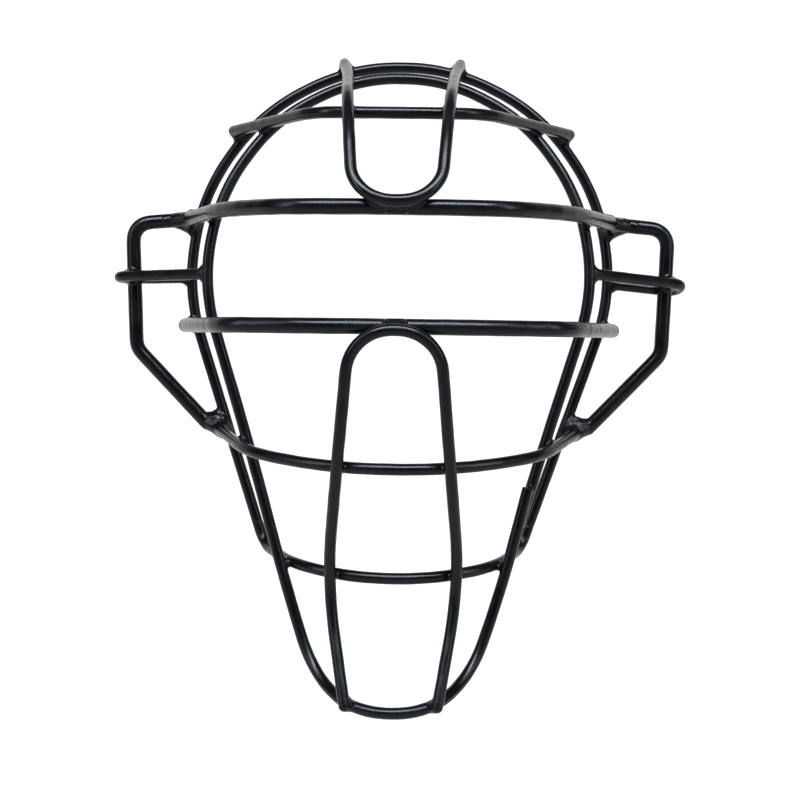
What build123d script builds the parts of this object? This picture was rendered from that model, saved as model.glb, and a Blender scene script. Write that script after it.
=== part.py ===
"""Welded steel wire cage of a catcher's mask.

Frame: +Z up, +X to the right of someone facing the mask, who looks along +Y.
The origin lies in the middle of the rear rim, the oval that the face pads lie against.
All sizes are in millimetres and all routes are the centre lines of the wires.
"""
from build123d import *
from math import cos, pi, radians, sin, tan
import os

os.makedirs("parts", exist_ok=True)

# ---- driving dimensions ----
THIN = 5.0                # light wire, over its powder coat
THICK = 6.6               # heavy wire of the brow bar, the eye bar and the ear guards
GAP = 0.2                 # air left between wires that meet, bridged by the weld bead

RIM_HALF_WIDTH = 96.4     # the rear rim's arch
RIM_HALF_HEIGHT = 96.8
RIM_MIDDLE_Z = 18.5       # where the rim is widest
RIM_TAPER = 19.0          # degrees that its sides close in, below the arch
RIM_LEAN = 0.10           # the rim leans back by this much per unit of height
JAW_Z = -96.5             # where the rim's ends are butt welded to the chin bar
JAW_CORNER_Z = -107.3     # where the chin bar turns forward
JAW_SWAY = -1.3           # the jaw sits a little off centre, as the wires were clamped

LOOP_HALF_WIDTH = 84.2    # the front loop's arch
LOOP_HALF_HEIGHT = 88.6
LOOP_MIDDLE_Z = 17.5
LOOP_TAPER = 17.7
LOOP_SIDE_Y = -33.0       # the front loop's sides stand in this plane
LOOP_TOP_Y = -10.4        # and its top leans back to here
LAP_TOP_Z = -76.0         # the front loop's two ends overlap between these heights
LAP_BOTTOM_Z = -93.6
LAP_SIDESTEP = 1.9        # the lower end stands this far inside the upper one

EAR_X = 122.5             # how far out the ear guards reach
ARCH_RUNS = 8             # straight runs that the arches are bent from

TIGHT_BEND = 5.4          # centre-line radii of the bends that are tighter than the rest
JAW_BEND = 10.0
EAR_BEND = 8.0
EYE_BEND = 22.0
LARGEST_SHARE = 0.47      # of the shorter run beside a bend, that the bend may take

CROSSING_BEAD = 0.36      # weld bead radius, as a share of the two wires' diameters
BUTT_BEAD = 0.30          # the same for two wires welded end to end
CORNER_BEAD = 0.46        # the same where a wire's end meets two others
BEAD_CLEARANCE = 0.12     # kept between a bead's metal and the wires, so that their faces never coincide
LAP_BEADS = (0.12, 0.88)  # where along the lap its beads are
BEAD_FLATNESS = 0.85      # half the width of a bead over its reach
BEAD_TURN = (31, 47, 0)   # turns the beads' flats away from the wires' directions
PROBES = 500              # places along a wire that are tried when a contact is looked for

# ---- geometry of the routes ----


def bend_radii(corners, given):
    """A radius for each inner corner: the given one, or as large as its two runs allow."""
    radii = []
    for index in range(1, len(corners) - 1):
        before = Vector(*corners[index]) - Vector(*corners[index - 1])
        after = Vector(*corners[index + 1]) - Vector(*corners[index])
        half_turn = radians(before.get_angle(after) / 2)
        largest = LARGEST_SHARE * min(before.length, after.length) / tan(half_turn)
        radii.append(given.get(index, largest))
    return radii


def mirrored(half):
    """A whole symmetric route, from the corners of its +X half listed outwards."""
    return [(-x, y, z) for x, y, z in reversed(half)] + list(half)


def arch(half_width, half_height, middle_z, taper):
    """Corners (x, z) of an arch, from its -X side over the top to its +X side."""
    step = (pi + 2 * radians(taper)) / ARCH_RUNS
    outward = 1 / cos(step / 2)
    angles = [pi + radians(taper) - step * (index + 0.5) for index in range(ARCH_RUNS)]
    return [
        (half_width * outward * cos(angle), middle_z + half_height * outward * sin(angle))
        for angle in angles
    ]


def side_x(half_width, half_height, middle_z, taper, z):
    """Half width at a height on the straight side that runs down from an arch."""
    slope = half_width * tan(radians(taper)) / half_height
    arch_end_z = middle_z - half_height * sin(radians(taper))
    return half_width * cos(radians(taper)) - slope * (arch_end_z - z)


def rim_point(z):
    """Point on the rim's straight +X side."""
    x = side_x(RIM_HALF_WIDTH, RIM_HALF_HEIGHT, RIM_MIDDLE_Z, RIM_TAPER, z)
    return x, RIM_LEAN * z, z


def loop_x(z):
    """Half width of the front loop on its straight sides."""
    return side_x(LOOP_HALF_WIDTH, LOOP_HALF_HEIGHT, LOOP_MIDDLE_Z, LOOP_TAPER, z)


def loop_y(z):
    """Depth of the front loop: upright sides, above which it leans back to the top."""
    lean = (LOOP_TOP_Y - LOOP_SIDE_Y) / LOOP_HALF_HEIGHT
    return LOOP_SIDE_Y + lean * max(0, z - LOOP_MIDDLE_Z)


def swap_side(route):
    """The same route on the other side of the face."""
    corners, given = route
    return [(-x, y, z) for x, y, z in corners], given


# ---- routes: corner points, and the radii of the bends that are not as large as they can be ----


def rear_rim():
    """Closed over the forehead, open at the jaw."""
    outline = arch(RIM_HALF_WIDTH, RIM_HALF_HEIGHT, RIM_MIDDLE_Z, RIM_TAPER)
    top = [(x, RIM_LEAN * z, z) for x, z in outline]
    x, y, z = rim_point(JAW_Z)
    return [(-x + JAW_SWAY, y, z)] + top + [(x + JAW_SWAY, y, z)], {}


def front_loop():
    """From the lap joint up the +X side, over the top, round the throat, back to the lap."""
    outline = arch(LOOP_HALF_WIDTH, LOOP_HALF_HEIGHT, LOOP_MIDDLE_Z, LOOP_TAPER)
    top = [(x, loop_y(z), z) for x, z in reversed(outline)]
    upper_end = (loop_x(LAP_BOTTOM_Z), -36.6, LAP_BOTTOM_Z)
    cheek = (loop_x(-60), LOOP_SIDE_Y, -60)
    throat = [(47.6, -43.5, -118), (34.6, -52, -155.6), (15.6, -76, -167)]
    lower_end = (loop_x(LAP_TOP_Z) - LAP_SIDESTEP, -40.4, LAP_TOP_Z)
    other_side = [(-x, y, z) for x, y, z in [cheek] + throat]
    return [upper_end, cheek] + top + other_side + throat[::-1] + [lower_end], {}


def chin_bar():
    """Across the throat behind the front loop, its ends turned up to the rim."""
    middle = mirrored([(15, -59.5, -113.5), (43.6, -45.6, -110.4)])
    ends = [rim_point(JAW_CORNER_Z), rim_point(JAW_Z - GAP)]
    left = [(-x + JAW_SWAY, y, z) for x, y, z in reversed(ends)]
    right = [(x + JAW_SWAY, y, z) for x, y, z in ends]
    return left + middle + right, {1: JAW_BEND, 6: JAW_BEND}


def crown_bar():
    """Across the forehead, in front of the front loop and back to the rim."""
    return mirrored([(11.1, -70, 81.3), (35.9, -62.8, 82.4), (78.2, 5.6, 84.1)]), {}


def brow_bar():
    """The upper edge of the eye opening, back along the outside of the rim."""
    return mirrored([(22, -95, 40.5), (46, -90.5, 40.6), (73.9, -60.5, 41.9), (99.9, 3.5, 42.5)]), {}


def eye_bar():
    """The lower edge of the eye opening."""
    half = [(30, -91, -6.7), (71.9, -75.5, -6.7), (98.6, -3.6, -6.7)]
    return mirrored(half), {1: EYE_BEND, 4: EYE_BEND}


def cheek_bar():
    """Across the mouth, back over the rim to the foot of the ear guards."""
    half = [
        (13, -80.5, -64.9),
        (36, -71, -63.9),
        (62.7, -54.5, -60.9),
        (76.6, -21, -56.2),
        (82.8, -7.4, -53.9),
    ]
    return mirrored(half), {}


def crown_loop():
    """The U that stands on the brow bar, its arms laid back over the crown to the rim."""
    return mirrored([(17.3, -101.1, 42.4), (20.9, -77.6, 85.6), (24, -15, 107), (27, 9, 116.5)]), {}


def nose_loop():
    """The U that hangs from the eye bar, its arms down over the mouth and the throat."""
    return mirrored([(17.9, -96.9, -8), (23.2, -84.4, -65), (28.4, -54, -116), (19.3, -76.4, -164)]), {}


def ear_guard():
    """From the brow bar out, down past the ear and in again to the cheek."""
    corners = [(104, -0.5, 41.8), (EAR_X + 1, -2, 40), (EAR_X - 1.2, -3, -17.3), (88.2, -4.5, -51.7)]
    return corners, {1: EAR_BEND, 2: EAR_BEND}


def ear_bar(front_z, outer_z, drop):
    """From the front loop out, round the ear guard and in again to the rim."""
    outer_x = EAR_X + 7.1
    corners = [
        (LOOP_HALF_WIDTH + 2.6, -29.8, front_z),
        (outer_x, -5.2, outer_z),
        (outer_x, 3.8, outer_z - drop),
        (RIM_HALF_WIDTH + 3.1, 2.5, front_z - drop),
    ]
    return corners, {1: TIGHT_BEND, 2: TIGHT_BEND}


ROUTES = {
    "rear_rim": (rear_rim(), THIN),
    "front_loop": (front_loop(), THIN),
    "chin_bar": (chin_bar(), THIN),
    "crown_bar": (crown_bar(), THIN),
    "brow_bar": (brow_bar(), THICK),
    "eye_bar": (eye_bar(), THICK),
    "cheek_bar": (cheek_bar(), THIN),
    "crown_loop": (crown_loop(), THIN),
    "nose_loop": (nose_loop(), THIN),
    "ear_guard_right": (ear_guard(), THICK),
    "ear_guard_left": (swap_side(ear_guard()), THICK),
    "ear_bar_right": (ear_bar(front_z=18, outer_z=15, drop=3.2), THIN),
    "ear_bar_left": (swap_side(ear_bar(front_z=15.9, outer_z=15.3, drop=0.6)), THIN),
}

# the weld beads, by node: the pairs of wires that each node's beads join
WELDS = {
    "welds_crown_bar": [("crown_bar", "front_loop"), ("crown_bar", "rear_rim")],
    "welds_brow_bar": [("brow_bar", "front_loop")],
    "welds_eye_bar": [("eye_bar", "front_loop"), ("eye_bar", "rear_rim")],
    "welds_cheek_bar": [("cheek_bar", "front_loop")],
    "welds_chin_bar": [("chin_bar", "front_loop")],
    "welds_jaw": [("chin_bar", "rear_rim")],
    "welds_crown_loop": [
        ("crown_loop", "brow_bar"),
        ("crown_loop", "crown_bar"),
        ("crown_loop", "front_loop"),
        ("crown_loop", "rear_rim"),
    ],
    "welds_nose_loop": [
        ("nose_loop", "eye_bar"),
        ("nose_loop", "cheek_bar"),
        ("nose_loop", "chin_bar"),
        ("nose_loop", "front_loop"),
    ],
}
for side in ("right", "left"):
    WELDS["welds_ear_guard_" + side] = [
        ("ear_guard_" + side, "brow_bar"),
        ("ear_guard_" + side, "cheek_bar"),
    ]
    WELDS["welds_ear_bar_" + side] = [
        ("ear_bar_" + side, "front_loop"),
        ("ear_bar_" + side, "ear_guard_" + side),
        ("ear_bar_" + side, "rear_rim"),
    ]

# ---- wires ----


def finish(part, name):
    """Label a finished piece and write it out."""
    part.label = name
    export_step(part, f"parts/{name}.step")
    return part


lines = {}
for name, ((corners, given), diameter) in ROUTES.items():
    with BuildPart() as wire:
        with BuildLine() as centre:
            FilletPolyline(*corners, radius=bend_radii(corners, given))
        with BuildSketch(Plane(origin=centre.line @ 0, z_dir=centre.line % 0)):
            Circle(diameter / 2)
        sweep()
    lines[name] = centre.wire()
    finish(wire.part, name)

# ---- weld beads ----

probes = {
    name: [(share / PROBES, line @ (share / PROBES)) for share in range(PROBES + 1)]
    for name, line in lines.items()
}


def contact(first, second, side):
    """The middle of two wires' closest approach, on one side of the face."""
    on_first, on_second = min(
        (
            (a, b)
            for _, a in probes[first] if a.X * side >= 0
            for _, b in probes[second] if b.X * side >= 0
        ),
        key=lambda pair: (pair[0] - pair[1]).length,
    )
    share = ROUTES[first][1] / (ROUTES[first][1] + ROUTES[second][1])
    return on_first + (on_second - on_first) * share


def lap_contact(z):
    """Half way between the front loop's two overlapping ends, at a height."""
    halves = []
    for strand in (probes["front_loop"][:PROBES // 4], probes["front_loop"][-PROBES // 4:]):
        halves.append(min(strand, key=lambda probe: abs(probe[1].Z - z))[1] * 0.5)
    return halves[0] + halves[1]


def strands(place, reach):
    """Each stretch of wire that passes within reach, as a straight rod: plane, radius, length."""
    found = []
    for name, line in lines.items():
        radius = ROUTES[name][1] / 2
        near = [probe for probe in probes[name] if (probe[1] - place).length < reach + radius]
        while near:
            share, point = min(near, key=lambda probe: (probe[1] - place).length)
            along = line % share
            behind = min(4 * reach, share * line.length)
            ahead = min(4 * reach, (1 - share) * line.length)
            start = Plane(origin=point - along * behind, z_dir=along)
            found.append((start, radius + BEAD_CLEARANCE, behind + ahead))
            near = [probe for probe in near if abs(probe[0] - share) * line.length > 4 * reach]
    return found


def bead(place, reach):
    """A blunt-cornered lump of weld metal, as far as the wires beside it leave room."""
    half = reach * BEAD_FLATNESS
    with BuildPart() as metal:
        with Locations(Location(place, BEAD_TURN)):
            Box(2 * half, 2 * half, 2 * half)
        chamfer(metal.edges(), half / 2)
        for plane, radius, length in strands(place, reach):
            with BuildSketch(plane):
                Circle(radius)
            extrude(amount=length, mode=Mode.SUBTRACT)
    return metal.part


def sides_of(name):
    """The sides of the face that a node's beads are on: -1, +1 or both."""
    if name.endswith("_right"):
        return (1,)
    if name.endswith("_left"):
        return (-1,)
    return (-1, 1)


def bead_share(name):
    """Size of a node's beads, as a share of the two wires' diameters."""
    if name == "welds_jaw":
        return BUTT_BEAD
    return CORNER_BEAD if name.startswith("welds_ear_guard") else CROSSING_BEAD


def bead_places(name):
    """Place and radius of each bead in a node."""
    found = []
    for first, second in WELDS[name]:
        reach = bead_share(name) * (ROUTES[first][1] + ROUTES[second][1])
        for side in sides_of(name):
            place = contact(first, second, side)
            if all((place - other).length > reach for other, _ in found):
                found.append((place, reach))
    return found


beads = {name: bead_places(name) for name in WELDS}
lap_heights = [LAP_BOTTOM_Z + share * (LAP_TOP_Z - LAP_BOTTOM_Z) for share in LAP_BEADS]
beads["welds_front_loop"] = [(lap_contact(z), CROSSING_BEAD * 2 * THIN) for z in lap_heights]

for name, places in beads.items():
    metal = [bead(place, reach) for place, reach in places]
    finish(Compound([solid for lump in metal for solid in lump.solids()]), name)
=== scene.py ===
"""Looks of the catcher's mask cage: bent wires with hand-laid welds, all under one black powder coat.

The centre line of every wire is read back from its CAD mesh. The wires are swept again along those
lines at a finer step, and each weld is the smooth blend of the wires that meet there. Lengths are in
metres. The face looks towards -y, and z is up.
"""
import math

import bpy
import numpy as np
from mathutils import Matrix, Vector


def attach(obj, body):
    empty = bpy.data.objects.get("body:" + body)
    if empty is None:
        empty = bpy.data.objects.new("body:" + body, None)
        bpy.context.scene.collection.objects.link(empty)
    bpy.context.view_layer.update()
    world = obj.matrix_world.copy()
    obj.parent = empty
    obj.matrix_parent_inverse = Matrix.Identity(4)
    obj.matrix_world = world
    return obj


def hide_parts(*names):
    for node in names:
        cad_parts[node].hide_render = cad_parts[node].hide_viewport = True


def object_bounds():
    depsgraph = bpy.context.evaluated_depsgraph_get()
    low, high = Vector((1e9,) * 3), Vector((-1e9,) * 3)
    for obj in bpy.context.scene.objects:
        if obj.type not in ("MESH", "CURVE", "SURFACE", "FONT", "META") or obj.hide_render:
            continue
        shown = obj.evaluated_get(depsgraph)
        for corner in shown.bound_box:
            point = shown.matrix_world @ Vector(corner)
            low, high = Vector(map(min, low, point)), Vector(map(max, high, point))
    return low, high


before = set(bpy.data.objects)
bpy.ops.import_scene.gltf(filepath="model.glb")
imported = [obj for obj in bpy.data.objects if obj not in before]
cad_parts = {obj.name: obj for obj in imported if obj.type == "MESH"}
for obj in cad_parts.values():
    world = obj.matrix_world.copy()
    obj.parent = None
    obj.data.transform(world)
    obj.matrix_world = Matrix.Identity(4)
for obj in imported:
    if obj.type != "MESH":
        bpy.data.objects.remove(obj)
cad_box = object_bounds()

import openvdb
from mathutils import Matrix, Vector

MM = 0.001

# wires
SIDES = 40                     # points round a wire
STEP = 0.8 * MM                # between rings along a wire
FINER = 4                      # points in a step, while a centre line is being worked out
BEND_EASE = 1.6 * MM           # over how much length a bend starts and stops
EASE_REACH = 4                 # how many BEND_EASEs each way the easing looks
COAT_WAVE = 0.035 * MM         # how uneven the powder coat lies
COAT_WAVES = (14 * MM, 5 * MM)     # longest and shortest of those waves
COAT_SEED = 3
END_ROUND = 0.9 * MM           # rounding of a wire's cut end, under its coat
END_RINGS = 5                  # rings in that rounding
UPRIGHT = 0.8                  # a wire that climbs more than this per length counts as upright
SAME_PLACE = 0.0001 * MM       # mesh points closer than this are one point

# welds
WELD_GRID = 0.36 * MM          # cell of the grid that a weld is worked out on
WELD_SINK = 0.06 * MM          # a weld's skin dips this far under the wires, where it thins out
WELD_RIPPLE = 0.10 * MM        # unevenness of the weld metal
RIPPLE_WAVES = (6 * MM, 2.5 * MM)  # longest and shortest wave of that
RIPPLE_SEED = 11
FULL_RIPPLE = 1 / 8            # a weld has its whole ripple where it fills this share of its blend
SETTLE_ROUNDS = 2              # times that a weld's points are moved on to its surface
LEAST_SLOPE = 0.1              # squared slope that such a move counts on at least
WELD_APART = 8 * MM            # lumps of CAD weld metal closer than this are one weld
# welds by place: how far each fills out a corner, how far it runs, and whether it covers cut ends
CROSSING_WELD = (3.8 * MM, 7.5 * MM, False)
END_WELD = (6.0 * MM, 10.5 * MM, True)
CORNER_WELD = (11 * MM, 18 * MM, True)
JAW_WELD = (1.8 * MM, 5.0 * MM, False)
TIP_WELD = (4.2 * MM, 9.5 * MM, True)
AT_END = 5.5 * MM              # a weld this near a wire's end is at its end
AT_TIP = 2 * MM                # a weld this near the middle of the face is at a loop's tip
WELD_SEAM = 20 * MM            # two welds this near each other are one seam, also filled half way
DROP_RADIUS = 1.4 * MM         # metal that has run from a loop's tip on to the bar behind it
DROP_HALF_WIDTH = 3.0 * MM
DROP_ANGLE = math.radians(36)  # how far round the bar it has run

# powder coat
BLACK = (0.0006, 0.0007, 0.0010, 1)
PALER_BLACK = (0.0018, 0.0020, 0.0027, 1)  # where the coat is cloudy
BLACK_TO, PALER_FROM = 0.35, 0.7           # where in the cloud noise the one ends and the other starts
COAT_SPECULAR = 0.16
CLOUD_SCALE, CLOUD_DETAIL = 90.0, 3.0
CLOUD_LOW, CLOUD_HIGH = 0.3, 0.7           # the cloud noise over which the gloss changes
GLOSSIER, DULLER = 0.04, 0.05              # how much the roughness changes each way
PEEL_SCALE, PEEL_DETAIL = 1200.0, 1.0      # orange peel
PEEL_DEPTH = 0.045 * MM

# camera
CAMERA_DISTANCE = 0.645
CAMERA_SIDE = 0.0100
CAMERA_HEIGHT = -0.0106
CAMERA_YAW = math.radians(0.79)
CAMERA_PITCH = math.radians(2.62)
CAMERA_ROLL = math.radians(0.78)
CAMERA_LENS = 62.4             # millimetres
CAMERA_SEES = 20               # metres

# stage: a floor that curves up into a backdrop
FLOOR_REACH = 6.0              # to each side and to the front
BACKDROP = 1.1                 # from here back the floor curves up
BACKDROP_BEND = 0.6
BACKDROP_TOP = 2.2
BACKDROP_STEPS = 12            # in that curve
STAGE_PAINT = (0.12, 0.12, 0.12, 1)
STAGE_ROUGHNESS = 0.9
STAGE_SPECULAR = 0.1
BRIGHT, BRIGHT_FROM = 1.02, -0.2   # the stage glows this much from here back
DIM, DIM_FROM = 0.18, -0.5         # and this much from here to the front

# lights
STUDIO_TINT = (0.85, 0.92, 1.0, 1)
STUDIO_STRENGTH = 0.14
SOFT_BOX_TINT = (0.82, 0.9, 1.0)
SOFT_BOX_AIM = (0, 0, 0)
# place, width, height and power in watts of each
SOFT_BOXES = {
    "soft_left": ((-1.3, -0.9, 0.6), 0.3, 1.2, 12),
    "soft_right": ((1.3, -0.9, 0.6), 0.3, 1.2, 12),
    "soft_top": ((0, -0.95, 1.25), 1.6, 0.55, 94),
}


def waves(points, longest, shortest, seed, count=9):
    """Smooth unevenness of about -1 to 1 at each point, made of waves that run in all directions."""
    rng = np.random.default_rng(seed)
    total = np.zeros(len(points))
    for _ in range(count):
        heading = rng.normal(size=3)
        heading *= 2 * math.pi / rng.uniform(shortest, longest) / np.linalg.norm(heading)
        total += np.sin(points @ heading + rng.uniform(0, 2 * math.pi))
    return total / math.sqrt(count)


# ---- centre lines, from the CAD meshes ----


def mesh_arrays(obj):
    """Points of a mesh, its triangles, and which of its points are at the same place."""
    mesh = obj.data
    mesh.calc_loop_triangles()
    points = np.zeros(len(mesh.vertices) * 3)
    mesh.vertices.foreach_get("co", points)
    points = points.reshape(-1, 3)
    triangles = np.zeros(len(mesh.loop_triangles) * 3, int)
    mesh.loop_triangles.foreach_get("vertices", triangles)
    _, place = np.unique(np.round(points / SAME_PLACE), axis=0, return_inverse=True)
    return points, triangles.reshape(-1, 3), place.ravel()


def neighbours(triangles):
    """For each point number, the numbers of the points it shares a triangle with."""
    found = {}
    for triangle in triangles.tolist():
        for point in triangle:
            found.setdefault(point, set()).update(triangle)
    return found


def grow(start, beside):
    """Layers of points round a starting set, each one triangle further out."""
    layers = [set(start)]
    seen = set(start)
    while layers[-1]:
        layer = set().union(*(beside[point] for point in layers[-1])) - seen
        seen |= layer
        layers.append(layer)
    return layers[:-1]


def loose_parts(points, triangles):
    """The point numbers of each connected part of a mesh."""
    beside = neighbours(triangles)
    left = set(beside)
    parts = []
    while left:
        part = set().union(*grow([next(iter(left))], beside))
        left -= part
        parts.append(sorted(part))
    return parts


def plane_normal(points):
    """Normal of the plane through some points, and how far they lie off it."""
    _, sizes, axes = np.linalg.svd(points - points.mean(0))
    return axes[2], sizes[2]


def wire_rings(obj):
    """Centre and direction of each ring of points along a wire, and the wire's radius."""
    points, triangles, place = mesh_arrays(obj)
    caps = [p for p in loose_parts(points, triangles) if plane_normal(points[p])[1] < SAME_PLACE]
    where = np.zeros((place.max() + 1, 3))
    where[place] = points
    rings = [where[sorted(layer)] for layer in grow(place[caps[0]].tolist(), neighbours(place[triangles]))]
    centres = np.array([ring.mean(0) for ring in rings])
    ahead = np.gradient(centres, axis=0)
    along = np.array([plane_normal(ring)[0] for ring in rings])
    along *= np.sign(np.sum(along * ahead, axis=1))[:, None]
    return centres, along, np.linalg.norm(rings[0] - centres[0], axis=1).mean()


def resampled(line):
    """A line of points at even steps along the given one."""
    length = np.concatenate([[0], np.cumsum(np.linalg.norm(np.diff(line, axis=0), axis=1))])
    even = np.linspace(0, length[-1], int(length[-1] / STEP) + 1)
    return np.stack([np.interp(even, length, line[:, axis]) for axis in range(3)], axis=1)


def eased(line):
    """The line with the start and end of each bend drawn out, as in bent wire. Its ends stay put."""
    spread = BEND_EASE / STEP
    reach = int(EASE_REACH * spread)
    weights = np.exp(-0.5 * (np.arange(-reach, reach + 1) / spread) ** 2)
    weights /= weights.sum()
    before = 2 * line[0] - line[reach:0:-1]
    after = 2 * line[-1] - line[-2:-reach - 2:-1]
    longer = np.concatenate([before, line, after])
    return np.stack([np.convolve(longer[:, axis], weights, "valid") for axis in range(3)], axis=1)


def centre_line(obj):
    """A wire's centre line at even steps, its directions there, and the wire's radius.

    Between two rings the line is the cubic that passes their centres at right angles to them.
    """
    centres, along, radius = wire_rings(obj)
    line = []
    for index in range(len(centres) - 1):
        start, end = centres[index], centres[index + 1]
        span = np.linalg.norm(end - start)
        t = np.linspace(0, 1, 2 + int(FINER * span / STEP))[:-1, None]
        line.append(
            (2 * t ** 3 - 3 * t ** 2 + 1) * start
            + (t ** 3 - 2 * t ** 2 + t) * along[index] * span
            + (3 * t ** 2 - 2 * t ** 3) * end
            + (t ** 3 - t ** 2) * along[index + 1] * span
        )
    line = eased(resampled(np.concatenate(line + [centres[-1:]])))
    ways = np.gradient(line, axis=0)
    return line, ways / np.linalg.norm(ways, axis=1)[:, None], radius


# ---- pieces ----


def piece(name, points, faces, material, nodes):
    """A smooth mesh that rides on the cage and stands for some of its CAD nodes."""
    mesh = bpy.data.meshes.new(name)
    mesh.from_pydata(points.tolist(), [], faces)
    mesh.shade_smooth()
    mesh.materials.append(material)
    obj = bpy.data.objects.new(name, mesh)
    bpy.context.scene.collection.objects.link(obj)
    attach(obj, "root")
    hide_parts(*nodes)


def tube(line, ways, radius):
    """Points and faces of a wire with rounded cut ends, under an uneven coat.

    The rings of each rounded end stand in for the first and the last two points of the line.
    """
    turn = np.linspace(0, math.pi / 2, END_RINGS)
    steps = [(-END_ROUND * (1 - math.sin(a)), END_ROUND * (1 - math.cos(a))) for a in turn]
    inner = slice(2, -2)
    first = [(line[0] - ways[0] * ahead, shrink) for ahead, shrink in steps[::-1]]
    last = [(line[-1] + ways[-1] * ahead, shrink) for ahead, shrink in steps]
    centres = np.array([c for c, _ in first] + line[inner].tolist() + [c for c, _ in last])
    radii = radius - np.array([s for _, s in first] + [0] * len(line[inner]) + [s for _, s in last])
    along = np.concatenate([[ways[0]] * len(first), ways[inner], [ways[-1]] * len(last)])

    starts_upright = abs(along[0][2]) > UPRIGHT
    sideways = np.cross(along[0], [1.0, 0.0, 0.0] if starts_upright else [0.0, 0.0, 1.0])
    angles = np.linspace(0, 2 * math.pi, SIDES, endpoint=False)[:, None]
    points = []
    for centre, way, size in zip(centres, along, radii):
        sideways = sideways - way * (sideways @ way)
        sideways /= np.linalg.norm(sideways)
        outward = np.cos(angles) * sideways + np.sin(angles) * np.cross(way, sideways)
        coat = COAT_WAVE * waves(centre + outward * radius, *COAT_WAVES, COAT_SEED)
        points.append(centre + outward * (size + coat[:, None]))
    points = np.concatenate(points)

    rings = len(centres)
    faces = []
    for ring in range(rings - 1):
        for side in range(SIDES):
            after = (side + 1) % SIDES
            low, high = ring * SIDES, (ring + 1) * SIDES
            faces.append((low + side, low + after, high + after, high + side))
    faces.append(tuple(range(SIDES))[::-1])
    faces.append(tuple(range((rings - 1) * SIDES, rings * SIDES)))
    return points, faces


# ---- welds ----


def bridge(start, end, radius):
    """A straight stretch of weld metal between the cut ends of two wires."""
    count = 2 + int(np.linalg.norm(end - start) / STEP)
    way = (end - start) / np.linalg.norm(end - start)
    return np.linspace(start, end, count), np.repeat(way[None], count, axis=0), radius, True, True


def tip_drop(near):
    """Metal that has run from a loop's tip on to the thicker bar behind it, and lies along that bar."""
    bar = max(near, key=lambda strand: strand[2])
    loop = min(near, key=lambda strand: strand[2])
    bar_middle, loop_middle = (strand[0][np.abs(strand[0][:, 0]).argmin()] for strand in (bar, loop))
    side = np.sign(bar_middle[2] - loop_middle[2])
    centre = bar_middle + bar[2] * np.array([0, -math.cos(DROP_ANGLE), side * math.sin(DROP_ANGLE)])
    half = np.array([DROP_HALF_WIDTH, 0, 0])
    return bridge(centre - half, centre + half, DROP_RADIUS)


def strands(place, reach, rounded):
    """Each stretch of wire that passes a place: its points from there, its directions, its radius, and
    whether it has the wire's start and its end.

    Where a rounded weld joins two cut ends, the metal between those is one more stretch.
    """
    found = []
    ends = []
    for line, ways, radius in lines.values():
        near = np.flatnonzero(np.linalg.norm(line - place, axis=1) < reach + radius)
        for run in np.split(near, np.flatnonzero(np.diff(near) > 1) + 1):
            if len(run) > 1:
                found.append((line[run] - place, ways[run], radius, run[0] == 0, run[-1] == len(line) - 1))
        for tip in (line[0] - place, line[-1] - place):
            if np.linalg.norm(tip) < reach / 2:
                ends.append((tip, radius))
    if rounded and len(ends) == 2:
        (start, start_radius), (end, end_radius) = ends
        found.append(bridge(start, end, (start_radius + end_radius) / 2))
    return found


def wire_distance(points, strand, rounded):
    """Distance from each point to the surface of a stretch of wire, and the way that surface faces.

    A rounded wire has a dome of weld metal on its cut ends.
    """
    line, ways, radius, has_start, has_end = strand
    apart = (line ** 2).sum(1) - 2 * points @ line.T
    nearest = apart.argmin(1)
    offset = points - line[nearest]
    ahead = np.einsum("ij,ij->i", offset, ways[nearest])
    outward = offset - ahead[:, None] * ways[nearest]
    middle = np.linalg.norm(outward, axis=1)
    sideways = middle - radius
    beyond = np.zeros(len(points))
    if has_start:
        beyond = np.where(nearest == 0, np.maximum(-ahead, 0), beyond)
    if has_end:
        beyond = np.where(nearest == len(line) - 1, np.maximum(ahead, 0), beyond)
    edge = radius if rounded else 0
    distance = np.where(beyond > 0, np.hypot(np.maximum(sideways + edge, 0), beyond) - edge, sideways)
    return distance, outward / np.maximum(middle, SAME_PLACE)[:, None]


def weld_skin(points, near, blend, spread, rounded, place):
    """Distance from each point, given from the weld's middle, to the weld's surface.

    Metal fills a corner between wires, but adds nothing where their surfaces face the same way.
    """
    away = np.linalg.norm(points, axis=1)
    flow = blend * np.clip(1 - (away / spread) ** 2, 0, 1) ** 2 + SAME_PLACE
    skin, facing = wire_distance(points, near[0], rounded)
    bare = skin
    for strand in near[1:]:
        other, other_facing = wire_distance(points, strand, rounded)
        opposed = np.clip(1 - np.einsum("ij,ij->i", facing, other_facing), 0, 1)
        corner = flow * opposed + SAME_PLACE
        overlap = np.maximum(corner - np.abs(skin - other), 0)
        bare = np.minimum(bare, other)
        share = np.clip(0.5 + (skin - other) / corner / 2, 0, 1)[:, None]
        facing = facing * (1 - share) + other_facing * share
        skin = np.minimum(skin, other) - overlap ** 2 / corner / 4
    filled = np.clip((bare - skin) / blend / FULL_RIPPLE, 0, 1)
    ripple = WELD_RIPPLE * waves(points + place, *RIPPLE_WAVES, RIPPLE_SEED) * filled
    return np.maximum(skin + WELD_SINK + ripple, away - spread)


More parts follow.
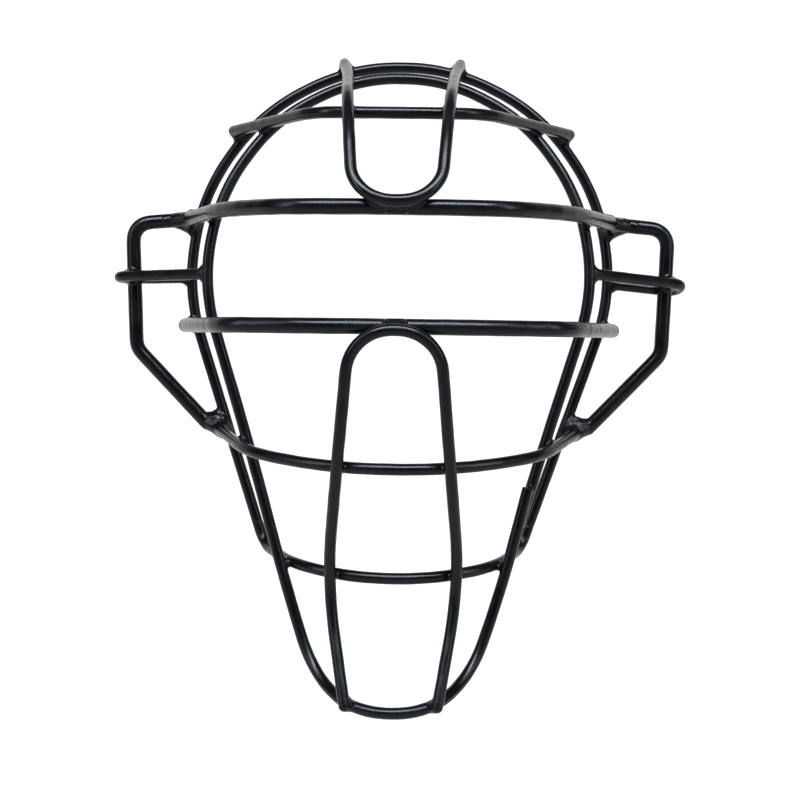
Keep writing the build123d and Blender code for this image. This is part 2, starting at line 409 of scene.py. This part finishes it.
def weld(place, blend, spread, rounded):
    """Points and faces of one weld: the smooth blend of the wires that pass its middle."""
    near = strands(place, spread + blend, rounded)
    if abs(place[0]) < AT_TIP:
        near.append(tip_drop(near))
    cells = int(spread / WELD_GRID) + 3
    axis = np.arange(-cells, cells + 1) * WELD_GRID
    count = len(axis)
    skin = np.zeros((count, count, count), np.float32)
    for index, x in enumerate(axis):
        y, z = np.meshgrid(axis, axis, indexing="ij")
        slab = np.stack([np.full(y.size, x), y.ravel(), z.ravel()], axis=1)
        skin[index] = weld_skin(slab, near, blend, spread, rounded, place).reshape(count, count)
    grid = openvdb.FloatGrid(1.0)
    grid.copyFromArray(skin)
    points, triangles, quads = grid.convertToPolygons(0.0)
    points = (points.astype(float) - cells) * WELD_GRID
    for _ in range(SETTLE_ROUNDS):
        points = settled(points, lambda at: weld_skin(at, near, blend, spread, rounded, place))
    return points + place, [tuple(face) for face in triangles.tolist() + quads.tolist()]


def settled(points, distance):
    """The points moved on to the surface where distance is nothing."""
    small = WELD_GRID / 4
    value = distance(points)
    slope = np.zeros_like(points)
    for axis in range(3):
        shift = np.eye(3)[axis] * small
        slope[:, axis] = (distance(points + shift) - distance(points - shift)) / (2 * small)
    step = value[:, None] * slope / np.maximum((slope ** 2).sum(1), LEAST_SLOPE)[:, None]
    return points - np.clip(step, -WELD_GRID / 2, WELD_GRID / 2)


def weld_size(node, place):
    """How far a weld fills and runs, and whether it covers cut ends, by what it joins."""
    if node.startswith("welds_ear_guard"):
        return CORNER_WELD
    if node == "welds_jaw":
        return JAW_WELD
    if abs(place[0]) < AT_TIP:
        return TIP_WELD
    if node.startswith("welds_ear_bar"):
        return END_WELD
    tips = [tip for line, _, _ in lines.values() for tip in (line[0], line[-1])]
    at_end = node != "welds_front_loop" and min(np.linalg.norm(tip - place) for tip in tips) < AT_END
    return END_WELD if at_end else CROSSING_WELD


def weld_places(obj):
    """Middle of each weld in a CAD node, whose metal may be in several lumps, and of each seam."""
    points, triangles, _ = mesh_arrays(obj)
    groups = []
    for part in loose_parts(points, triangles):
        middle = (points[part].min(0) + points[part].max(0)) / 2
        for group in groups:
            if np.linalg.norm(np.mean(group, axis=0) - middle) < WELD_APART:
                group.append(middle)
                break
        else:
            groups.append([middle])
    places = [np.mean(group, axis=0) for group in groups]
    pairs = [(a, b) for index, a in enumerate(places) for b in places[index + 1:]]
    return places + [(a + b) / 2 for a, b in pairs if np.linalg.norm(a - b) < WELD_SEAM]


# ---- materials ----


def add(nodes, kind, **values):
    """A shader node with some of its inputs set. An underscore stands for a space in an input's name."""
    node = nodes.new(kind)
    for name, value in values.items():
        node.inputs[name.replace("_", " ")].default_value = value
    return node


def powder_coat(name, rough, grain):
    """Satin black powder coat: faintly cloudy in colour and gloss, with orange peel as strong as grain."""
    material = bpy.data.materials.new(name)
    material.use_nodes = True
    nodes = material.node_tree.nodes
    link = material.node_tree.links.new
    shader = nodes["Principled BSDF"]
    shader.inputs["Specular IOR Level"].default_value = COAT_SPECULAR
    shader.inputs["Metallic"].default_value = 0.0
    place = add(nodes, "ShaderNodeTexCoord").outputs["Object"]

    cloud = add(nodes, "ShaderNodeTexNoise", Scale=CLOUD_SCALE, Detail=CLOUD_DETAIL)
    link(place, cloud.inputs["Vector"])
    tint = add(nodes, "ShaderNodeValToRGB")
    low, high = tint.color_ramp.elements
    low.color, low.position = BLACK, BLACK_TO
    high.color, high.position = PALER_BLACK, PALER_FROM
    link(cloud.outputs["Fac"], tint.inputs["Fac"])
    link(tint.outputs["Color"], shader.inputs["Base Color"])

    gloss = add(nodes, "ShaderNodeMapRange", From_Min=CLOUD_LOW, From_Max=CLOUD_HIGH)
    gloss.inputs["To Min"].default_value = rough - GLOSSIER
    gloss.inputs["To Max"].default_value = rough + DULLER
    link(cloud.outputs["Fac"], gloss.inputs["Value"])
    link(gloss.outputs["Result"], shader.inputs["Roughness"])

    peel = add(nodes, "ShaderNodeTexNoise", Scale=PEEL_SCALE, Detail=PEEL_DETAIL)
    link(place, peel.inputs["Vector"])
    bump = add(nodes, "ShaderNodeBump", Strength=grain, Distance=PEEL_DEPTH)
    link(peel.outputs["Fac"], bump.inputs["Height"])
    link(bump.outputs["Normal"], shader.inputs["Normal"])
    return material


# ---- the cage ----

wire_coat = powder_coat("wire_coat", rough=0.25, grain=0.5)
weld_coat = powder_coat("weld_coat", rough=0.28, grain=0.7)

# each wire's centre line, directions and radius
lines = {
    name: centre_line(obj) for name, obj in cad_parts.items() if not name.startswith("welds_")
}
for name, (line, ways, radius) in lines.items():
    points, faces = tube(line, ways, radius)
    piece("wire_" + name, points, faces, wire_coat, [name])

for name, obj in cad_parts.items():
    if name in lines:
        continue
    points, faces = [], []
    for place in weld_places(obj):
        more_points, more_faces = weld(place, *weld_size(name, place))
        first = sum(len(group) for group in points)
        points.append(more_points)
        faces += [tuple(first + corner for corner in face) for face in more_faces]
    piece(name.replace("welds", "weld"), np.concatenate(points), faces, weld_coat, [name])

# ---- stage, lights and camera ----


def stage_paint():
    """Plain paint that glows brightly behind and under the object, and dimly in front of it."""
    material = bpy.data.materials.new("stage_paint")
    material.use_nodes = True
    nodes = material.node_tree.nodes
    link = material.node_tree.links.new
    shader = nodes["Principled BSDF"]
    shader.inputs["Base Color"].default_value = STAGE_PAINT
    shader.inputs["Roughness"].default_value = STAGE_ROUGHNESS
    shader.inputs["Specular IOR Level"].default_value = STAGE_SPECULAR
    shader.inputs["Emission Color"].default_value = (1, 1, 1, 1)
    depth = add(nodes, "ShaderNodeSeparateXYZ")
    link(add(nodes, "ShaderNodeTexCoord").outputs["Object"], depth.inputs["Vector"])
    glow = add(nodes, "ShaderNodeMapRange", From_Min=DIM_FROM, From_Max=BRIGHT_FROM)
    glow.inputs["To Min"].default_value = DIM
    glow.inputs["To Max"].default_value = BRIGHT
    link(depth.outputs["Y"], glow.inputs["Value"])
    link(glow.outputs["Result"], shader.inputs["Emission Strength"])
    return material


def sweep_stage():
    """Floor that curves up into a backdrop behind the object."""
    floor = cad_box[0][2]
    profile = [(-FLOOR_REACH, 0.0)]
    for index in range(BACKDROP_STEPS + 1):
        angle = math.pi / 2 * index / BACKDROP_STEPS
        profile.append((BACKDROP + BACKDROP_BEND * math.sin(angle), BACKDROP_BEND * (1 - math.cos(angle))))
    profile.append((BACKDROP + BACKDROP_BEND, BACKDROP_TOP))
    points = [(x, y, floor + z) for y, z in profile for x in (-FLOOR_REACH, FLOOR_REACH)]
    faces = [(2 * i, 2 * i + 1, 2 * i + 3, 2 * i + 2) for i in range(len(profile) - 1)]
    mesh = bpy.data.meshes.new("stage")
    mesh.from_pydata(points, [], faces)
    mesh.shade_smooth()
    mesh.materials.append(stage_paint())
    obj = bpy.data.objects.new("stage", mesh)
    bpy.context.scene.collection.objects.link(obj)


def soft_box(name, place, width, height, power):
    """A soft box that shines from a place towards the cage."""
    light = bpy.data.lights.new(name, "AREA")
    light.shape = "RECTANGLE"
    light.size = width
    light.size_y = height
    light.energy = power
    light.color = SOFT_BOX_TINT
    obj = bpy.data.objects.new(name, light)
    obj.location = place
    obj.rotation_euler = (Vector(SOFT_BOX_AIM) - Vector(place)).to_track_quat("-Z", "Y").to_euler()
    bpy.context.scene.collection.objects.link(obj)


def light_studio():
    """Dim bluish light from wherever there is no stage."""
    world = bpy.data.worlds.new("studio")
    world.use_nodes = True
    background = world.node_tree.nodes["Background"]
    background.inputs["Color"].default_value = STUDIO_TINT
    background.inputs["Strength"].default_value = STUDIO_STRENGTH
    bpy.context.scene.world = world


def set_camera():
    """The camera in front of the cage, turned by its small yaw, pitch and roll."""
    camera = bpy.data.objects.new("camera", bpy.data.cameras.new("camera"))
    camera.data.lens = CAMERA_LENS
    camera.data.clip_end = CAMERA_SEES
    turn = (
        Matrix.Rotation(CAMERA_YAW, 4, "Z")
        @ Matrix.Rotation(math.pi / 2 - CAMERA_PITCH, 4, "X")
        @ Matrix.Rotation(CAMERA_ROLL, 4, "Z")
    )
    camera.matrix_world = Matrix.Translation((CAMERA_SIDE, -CAMERA_DISTANCE, CAMERA_HEIGHT)) @ turn
    bpy.context.scene.collection.objects.link(camera)
    bpy.context.scene.camera = camera


sweep_stage()
for name, (place, width, height, power) in SOFT_BOXES.items():
    soft_box(name, place, width, height, power)
light_studio()
set_camera()
# the stage's glow of about 1 shows as white only without a film-like curve
bpy.context.scene.view_settings.view_transform = "Standard"
